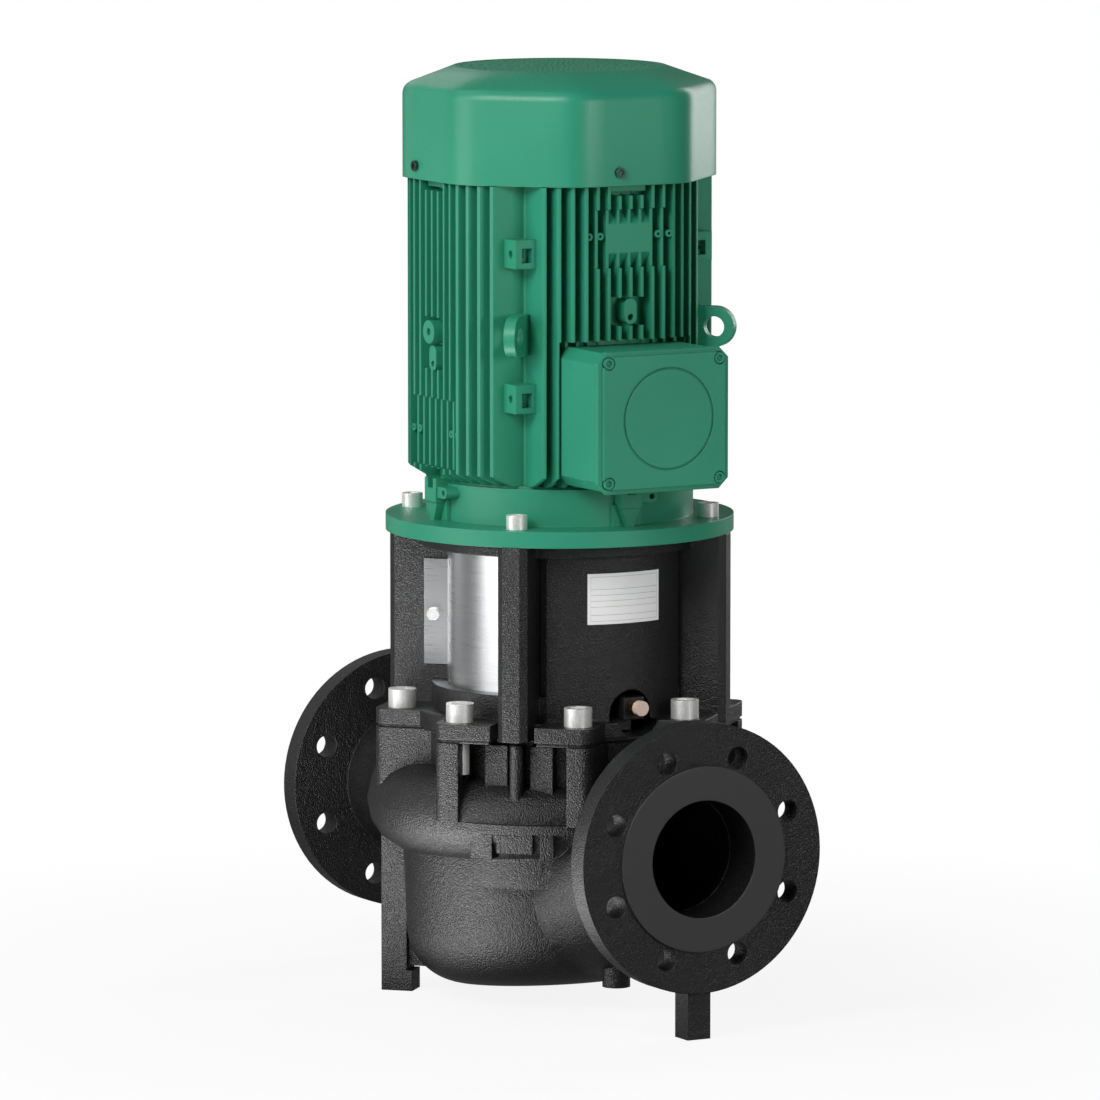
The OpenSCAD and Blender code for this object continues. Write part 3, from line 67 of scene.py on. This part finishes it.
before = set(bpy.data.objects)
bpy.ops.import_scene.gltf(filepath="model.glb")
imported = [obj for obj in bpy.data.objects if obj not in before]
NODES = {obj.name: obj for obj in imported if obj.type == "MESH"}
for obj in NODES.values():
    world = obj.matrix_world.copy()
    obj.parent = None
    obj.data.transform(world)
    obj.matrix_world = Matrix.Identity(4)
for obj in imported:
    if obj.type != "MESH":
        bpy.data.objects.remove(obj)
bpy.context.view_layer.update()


class Shader:
    """A material: its node tree, its Principled shader and short ways to add nodes."""

    def __init__(self, name):
        self.material = bpy.data.materials.new(name)
        self.material.use_nodes = True
        self.tree = self.material.node_tree
        self.bsdf = self.tree.nodes["Principled BSDF"]
        self.place = self.add("ShaderNodeTexCoord").outputs["Object"]

    def add(self, kind, **settings):
        node = self.tree.nodes.new(kind)
        for key, value in settings.items():
            setattr(node, key, value)
        return node

    def link(self, source, target):
        self.tree.links.new(source, target)

    def set(self, **values):
        for key, value in values.items():
            self.bsdf.inputs[key.replace("_", " ")].default_value = value

    def stretched(self, scale):
        mapping = self.add("ShaderNodeMapping")
        mapping.inputs["Scale"].default_value = scale
        self.link(self.place, mapping.inputs["Vector"])
        return mapping.outputs["Vector"]

    def noise(self, scale, detail=3.0, roughness=0.5, vector=None):
        node = self.add("ShaderNodeTexNoise")
        node.inputs["Scale"].default_value = scale
        node.inputs["Detail"].default_value = detail
        node.inputs["Roughness"].default_value = roughness
        self.link(vector or self.place, node.inputs["Vector"])
        return node.outputs["Fac"]

    def ramp(self, source, stops):
        """Colour that follows source between two stops, each a position and a linear colour."""
        node = self.add("ShaderNodeValToRGB")
        for element, (position, colour) in zip(node.color_ramp.elements, stops):
            element.position = position
            element.color = (*colour, 1.0)
        self.link(source, node.inputs["Fac"])
        return node.outputs["Color"]

    def range(self, source, low, high, start=0.0, end=1.0):
        node = self.add("ShaderNodeMapRange")
        node.inputs["From Min"].default_value = start
        node.inputs["From Max"].default_value = end
        node.inputs["To Min"].default_value = low
        node.inputs["To Max"].default_value = high
        self.link(source, node.inputs["Value"])
        return node.outputs["Result"]

    def math(self, operation, a, b=None):
        node = self.add("ShaderNodeMath", operation=operation)
        for slot, value in enumerate((a, b)):
            if value is None:
                continue
            if isinstance(value, (int, float)):
                node.inputs[slot].default_value = value
            else:
                self.link(value, node.inputs[slot])
        return node.outputs["Value"]

    def bump(self, height, strength, distance, edge=0.0):
        """Height map. edge is the radius, in metres, that hard edges seem to have."""
        node = self.add("ShaderNodeBump")
        node.inputs["Strength"].default_value = strength
        node.inputs["Distance"].default_value = distance
        self.link(height, node.inputs["Height"])
        if edge > 0.0:
            bevel = self.add("ShaderNodeBevel")
            bevel.samples = 6
            bevel.inputs["Radius"].default_value = edge
            self.link(bevel.outputs["Normal"], node.inputs["Normal"])
        self.link(node.outputs["Normal"], self.bsdf.inputs["Normal"])


def srgb(r, g, b):
    """Colour as a picture shows it, turned into the linear values that shaders use."""
    return tuple(c / 12.92 if c <= 0.04045 else ((c + 0.055) / 1.055) ** 2.4 for c in (r, g, b))


def cast_iron(name, tone=0.095, grain=1.0, machined=False):
    """Black painted sand casting: fine grain, a slow variation of tone and soft edges.

    machined turns the raised faces at both pipe ends smooth.
    """
    s = Shader(name)
    s.set(Metallic=0.0, Specular_IOR_Level=0.55)
    grains = s.noise(SAND_GRAINS, 1.5, 0.5)
    clouds = s.noise(SAND_CLOUDS, 2.0)
    dark = srgb(tone * 0.82, tone * 0.82, tone * 0.86)
    light = srgb(tone * 1.18, tone * 1.18, tone * 1.2)
    colour = s.ramp(clouds, [(0.35, dark), (0.68, light)])
    rough = s.range(grains, 0.28, 0.44, 0.3, 0.7)
    height = s.math("ADD", grains, s.math("MULTIPLY", s.noise(SAND_SWELLS, 2.0), 0.5))
    if machined:
        split = s.add("ShaderNodeSeparateXYZ")
        s.link(s.place, split.inputs["Vector"])
        x = split.outputs["X"]
        suction = s.math("GREATER_THAN", x, -TURNED_DEPTH)
        discharge = s.math("LESS_THAN", x, TURNED_DEPTH - FACE_TO_FACE)
        face = s.math("MAXIMUM", suction, discharge)
        mix = s.add("ShaderNodeMix", data_type="RGBA")
        s.link(face, mix.inputs["Factor"])
        s.link(colour, mix.inputs["A"])
        mix.inputs["B"].default_value = (*srgb(*TURNED_GREY), 1.0)
        colour = mix.outputs["Result"]
        left_rough = s.math("SUBTRACT", 1.0, s.math("MULTIPLY", face, 0.92))
        height = s.math("MULTIPLY", height, left_rough)
    s.link(colour, s.bsdf.inputs["Base Color"])
    s.link(rough, s.bsdf.inputs["Roughness"])
    s.bump(height, grain, 0.0011, edge=0.0016)
    return s.material


def paint(name, colour, deep, rough=0.40, texture=0.22):
    """Satin enamel with a faint orange peel and a slow variation of tone."""
    s = Shader(name)
    s.set(Metallic=0.0, Coat_Weight=0.10, Coat_Roughness=0.3, Specular_IOR_Level=0.36)
    peel = s.noise(ORANGE_PEEL, 3.0, 0.6)
    clouds = s.noise(PAINT_CLOUDS, 2.0)
    s.link(s.ramp(clouds, [(0.3, deep), (0.7, colour)]), s.bsdf.inputs["Base Color"])
    s.link(s.range(peel, rough - 0.05, rough + 0.10, 0.3, 0.7), s.bsdf.inputs["Roughness"])
    s.bump(peel, texture, 0.0004, edge=0.0013)
    return s.material


def metal(name, colour, rough=0.32, brushed=None, scale=700.0, texture=0.12, metallic=1.0,
          contrast=1.0):
    """Bare or plated metal.

    brushed is the stretch of its grain along X, Y and Z, texture its relief, and contrast how much
    it varies colour and roughness.
    """
    s = Shader(name)
    s.set(Metallic=metallic)
    vector = s.stretched(brushed) if brushed else None
    grain = s.noise(scale, 3.0, 0.55, vector)
    light, dark = srgb(*colour), srgb(*[c * (1 - 0.12 * contrast) for c in colour])
    s.link(s.ramp(grain, [(0.3, dark), (0.7, light)]), s.bsdf.inputs["Base Color"])
    roughness = s.range(grain, rough - 0.06 * contrast, rough + 0.1 * contrast, 0.3, 0.7)
    s.link(roughness, s.bsdf.inputs["Roughness"])
    s.bump(grain, texture, 0.0002, edge=0.0006)
    return s.material


def plastic(name, colour, rough=0.5):
    """Moulded plastic or rubber with a fine spark texture."""
    s = Shader(name)
    grain = s.noise(900.0, 2.0, 0.5)
    light, dark = srgb(*colour), srgb(*[c * 0.85 for c in colour])
    s.link(s.ramp(grain, [(0.35, dark), (0.65, light)]), s.bsdf.inputs["Base Color"])
    s.link(s.range(grain, rough - 0.06, rough + 0.08, 0.3, 0.7), s.bsdf.inputs["Roughness"])
    s.bump(grain, 0.2, 0.0002, edge=0.0004)
    return s.material


def label_film(name):
    """White film with a hairline frame and ruled rows, and nothing written in them."""
    s = Shader(name)
    s.set(Roughness=0.38, Specular_IOR_Level=0.4)
    split = s.add("ShaderNodeSeparateXYZ")
    s.link(s.place, split.inputs["Vector"])
    y, z = split.outputs["Y"], split.outputs["Z"]

    def line(source, at):
        away = s.math("ABSOLUTE", s.math("SUBTRACT", source, at))
        return s.math("LESS_THAN", away, LABEL_LINE / 2)

    def between(source, low, high):
        above, below = s.math("GREATER_THAN", source, low), s.math("LESS_THAN", source, high)
        return s.math("MULTIPLY", above, below)

    inside = s.math("MULTIPLY", between(y, *LABEL_Y), between(z, *LABEL_Z))
    marks = line(z, LABEL_ROWS[0])
    for height in LABEL_ROWS[1:]:
        marks = s.math("MAXIMUM", marks, line(z, height))
    for side in LABEL_Y:
        marks = s.math("MAXIMUM", marks, line(y, side))
    marks = s.math("MULTIPLY", marks, inside)
    clouds = s.noise(FILM_CLOUDS, 2.0)
    film = s.ramp(clouds, [(0.3, (0.94, 0.94, 0.935)), (0.7, (0.97, 0.97, 0.965))])
    mix = s.add("ShaderNodeMix", data_type="RGBA")
    s.link(s.math("MULTIPLY", marks, 0.75), mix.inputs["Factor"])
    s.link(film, mix.inputs["A"])
    mix.inputs["B"].default_value = (0.12, 0.12, 0.12, 1.0)
    s.link(mix.outputs["Result"], s.bsdf.inputs["Base Color"])
    s.bump(s.noise(FILM_GRAIN, 2.0), 0.02, 0.0001)
    return s.material


def banded(name, light, dark, pitch, metallic, rough):
    """Stacked sheets or wound wire: thin bands along Z, each pitch metres high."""
    s = Shader(name)
    s.set(Metallic=metallic)
    wave = s.add("ShaderNodeTexWave", bands_direction="Z")
    wave.inputs["Scale"].default_value = 1.0 / (pitch * WAVE_BANDS)
    wave.inputs["Distortion"].default_value = 0.6
    s.link(s.place, wave.inputs["Vector"])
    bands = wave.outputs["Fac"]
    s.link(s.ramp(bands, [(0.2, srgb(*dark)), (0.6, srgb(*light))]), s.bsdf.inputs["Base Color"])
    s.link(s.range(bands, rough + 0.1, rough), s.bsdf.inputs["Roughness"])
    s.bump(bands, 0.4, 0.0004)
    return s.material


LOOKS = {
    cast_iron("casing_iron", machined=True): ["volute_casing", "drain_plug"],
    cast_iron("lantern_iron", tone=0.105, grain=0.75): ["lantern"],
    cast_iron("cover_iron", tone=0.11, grain=0.3): ["casing_cover"],
    paint("motor_paint", GREEN, GREEN_DEEP): ["motor_frame", "drive_end_shield", "fan_end_shield"],
    paint("sheet_paint", GREEN, GREEN_DEEP, rough=0.36, texture=0.12): ["fan_cover"],
    paint("box_paint", GREEN, GREEN_DEEP, rough=0.42, texture=0.3): [
        "terminal_box", "box_lid", "lid_screws"],
    metal("zinc", (1.0, 1.0, 0.99), 0.36, texture=0.03, metallic=0.55, contrast=0.6): [
        "joint_bolts", "guard_screws", "motor_flange_bolts", "shield_screws", "impeller_nut"],
    metal("dark_screw", (0.30, 0.42, 0.38), 0.4): ["fan_cover_screws"],
    metal("brushed_stainless", (0.93, 0.935, 0.94), 0.29, brushed=(0.02, 0.02, 1.0), scale=1800.0,
          texture=0.01, contrast=0.35): ["guard_left", "guard_right"],
    metal("spring_steel", (0.72, 0.73, 0.75), 0.25): ["seal_spring"],
    metal("bronze", (0.60, 0.50, 0.32), 0.45, texture=0.3): ["impeller", "casing_wear_ring"],
    metal("brass", (0.75, 0.62, 0.38), 0.33): ["vent_valve_body", "terminal_studs"],
    metal("copper", (1.0, 0.88, 0.81), 0.34, texture=0.03, metallic=0.0): ["vent_screw"],
    metal("turned_steel", (0.66, 0.67, 0.69), 0.26, brushed=(0.2, 0.2, 6.0), scale=400.0): [
        "stub_shaft", "motor_shaft"],
    metal("key_steel", (0.50, 0.51, 0.53), 0.4): [
        "shaft_key", "impeller_key", "stub_shaft_screws", "fan_circlip"],
    metal("bearing_steel", (0.80, 0.81, 0.83), 0.16, texture=0.03): [
        "lower_bearing_outer", "lower_bearing_balls", "lower_bearing_inner", "upper_bearing_outer",
        "upper_bearing_balls", "upper_bearing_inner"],
    banded("laminations", (0.50, 0.51, 0.53), (0.30, 0.31, 0.33), 0.0015, 1.0, 0.4): [
        "rotor_core", "stator_core"],
    banded("winding_wire", (0.70, 0.36, 0.16), (0.30, 0.13, 0.05), 0.0022, 0.3, 0.3): [
        "stator_windings"],
    plastic("seal_carbon", (0.17, 0.17, 0.18), 0.45): ["seal_seat", "seal_head"],
    plastic("rubber", (0.07, 0.07, 0.07), 0.72): ["cover_o_ring", "deflector_ring", "box_gasket"],
    plastic("black_plastic", (0.08, 0.08, 0.085), 0.5): ["fan", "entry_plugs", "terminal_board"],
    label_film("label_film"): ["label_plate"],
}

for material, names in LOOKS.items():
    for name in names:
        slots = NODES[name].data.materials
        slots.clear()
        slots.append(material)


def smooth_group():
    """Geometry nodes that weld the facets and shade them smooth, but not over sharp edges."""
    tree = bpy.data.node_groups.new("weld_and_smooth", "GeometryNodeTree")
    tree.interface.new_socket("Geometry", in_out="INPUT", socket_type="NodeSocketGeometry")
    tree.interface.new_socket("Geometry", in_out="OUTPUT", socket_type="NodeSocketGeometry")
    new, link = tree.nodes.new, tree.links.new
    start, end = new("NodeGroupInput"), new("NodeGroupOutput")
    merge = new("GeometryNodeMergeByDistance")
    merge.inputs["Distance"].default_value = WELD_DISTANCE
    faces, edges = new("GeometryNodeSetShadeSmooth"), new("GeometryNodeSetShadeSmooth")
    faces.domain, edges.domain = "FACE", "EDGE"
    edge_angle = new("GeometryNodeInputMeshEdgeAngle")
    flat_enough = new("FunctionNodeCompare")
    flat_enough.data_type, flat_enough.operation = "FLOAT", "LESS_THAN"
    flat_enough.inputs["B"].default_value = SMOOTH_ANGLE
    link(edge_angle.outputs["Unsigned Angle"], flat_enough.inputs["A"])
    link(flat_enough.outputs["Result"], edges.inputs["Shade Smooth"])
    link(start.outputs["Geometry"], merge.inputs["Geometry"])
    link(merge.outputs["Geometry"], faces.inputs["Geometry"])
    link(faces.outputs["Geometry"], edges.inputs["Geometry"])
    link(edges.outputs["Geometry"], end.inputs["Geometry"])
    return tree


SMOOTH = smooth_group()
for node in NODES.values():
    mesh = node.data
    if "custom_normal" in mesh.attributes:
        mesh.attributes.remove(mesh.attributes["custom_normal"])
    node.modifiers.new("weld_and_smooth", "NODES").node_group = SMOOTH


def add_camera():
    right = Vector((0, 0, 1)).cross(CAMERA_BACK).normalized()
    up = CAMERA_BACK.cross(right)
    data = bpy.data.cameras.new("photo_camera")
    data.lens, data.sensor_width = CAMERA_LENS, CAMERA_SENSOR
    data.clip_start, data.clip_end = 0.1, 200.0
    camera = bpy.data.objects.new("photo_camera", data)
    turn = Matrix((right, up, CAMERA_BACK)).transposed().to_4x4()
    camera.matrix_world = Matrix.Translation(CAMERA_PLACE) @ turn
    bpy.context.scene.collection.objects.link(camera)
    bpy.context.scene.camera = camera


def add_softbox(name, place, size, power):
    data = bpy.data.lights.new(name, "AREA")
    data.shape, data.size, data.size_y = "RECTANGLE", size[0], size[1]
    data.energy = power
    lamp = bpy.data.objects.new(name, data)
    lamp.location = place
    lamp.rotation_euler = (Vector(CENTRE) - Vector(place)).to_track_quat("-Z", "Y").to_euler()
    bpy.context.scene.collection.objects.link(lamp)


def ray_kinds(tree, *kinds):
    """One where a ray is of one of the kinds, else zero."""
    path = tree.nodes.new("ShaderNodeLightPath")
    total = path.outputs[kinds[0]]
    for kind in kinds[1:]:
        either = tree.nodes.new("ShaderNodeMath")
        either.operation = "MAXIMUM"
        tree.links.new(total, either.inputs[0])
        tree.links.new(path.outputs[kind], either.inputs[1])
        total = either.outputs["Value"]
    return total


def add_floor():
    """White floor: the camera sees it white all over, with a soft shadow only near the feet."""
    mesh = bpy.data.meshes.new("floor")
    signs = ((-1, -1), (1, -1), (1, 1), (-1, 1))
    corners = [(x * FLOOR_REACH, y * FLOOR_REACH, FLOOR_Z) for x, y in signs]
    mesh.from_pydata(corners, [], [(0, 1, 2, 3)])
    floor = bpy.data.objects.new("floor", mesh)
    bpy.context.scene.collection.objects.link(floor)
    s = Shader("floor_pale")
    s.set(Roughness=0.9, Base_Color=(0.80, 0.80, 0.80, 1.0))

    def distance_from(x, y):
        shift = s.add("ShaderNodeMapping")
        shift.inputs["Location"].default_value = (-x, -y, -FLOOR_Z)
        s.link(s.place, shift.inputs["Vector"])
        away = s.add("ShaderNodeVectorMath", operation="LENGTH")
        s.link(shift.outputs["Vector"], away.inputs[0])
        return away.outputs["Value"]

    camera = ray_kinds(s.tree, "Is Camera Ray", "Is Transmission Ray")
    glossy = ray_kinds(s.tree, "Is Glossy Ray")
    from_shaft = distance_from(SHAFT_X, 0.0)
    white = s.range(from_shaft, FLOOR_WHITE, 1.0, FLOOR_WHITE_FROM, FLOOR_WHITE_TO)
    share = s.math("ADD", s.math("MULTIPLY", camera, white), glossy)
    from_sheen = distance_from(*SHEEN_PLACE)
    sheen = s.range(from_sheen, SHEEN_STRENGTH, SHEEN_AWAY, SHEEN_RADIUS, SHEEN_END)
    # Painted reflection: reflections see the floor glow, strongly in the sheen patch and faintly
    # elsewhere
    glow = s.add("ShaderNodeEmission")
    s.link(s.math("ADD", camera, s.math("MULTIPLY", glossy, sheen)), glow.inputs["Strength"])
    mix = s.add("ShaderNodeMixShader")
    s.link(share, mix.inputs["Fac"])
    s.link(s.bsdf.outputs["BSDF"], mix.inputs[1])
    s.link(glow.outputs["Emission"], mix.inputs[2])
    s.link(mix.outputs["Shader"], s.tree.nodes["Material Output"].inputs["Surface"])
    mesh.materials.append(s.material)


def add_studio():
    """Dim room light that the camera sees as white."""
    world = bpy.data.worlds.new("studio")
    world.use_nodes = True
    bpy.context.scene.world = world
    tree = world.node_tree
    background = tree.nodes["Background"]
    background.inputs["Color"].default_value = (1.0, 1.0, 1.0, 1.0)
    strength = tree.nodes.new("ShaderNodeMapRange")
    strength.inputs["To Min"].default_value = ROOM_LIGHT
    strength.inputs["To Max"].default_value = 1.0
    camera = ray_kinds(tree, "Is Camera Ray", "Is Transmission Ray")
    tree.links.new(camera, strength.inputs["Value"])
    tree.links.new(strength.outputs["Result"], background.inputs["Strength"])


add_camera()
add_floor()
add_studio()
for name, (place, size, power) in SOFTBOXES.items():
    add_softbox(name, place, size, power)

bpy.context.scene.view_settings.view_transform = "Standard"
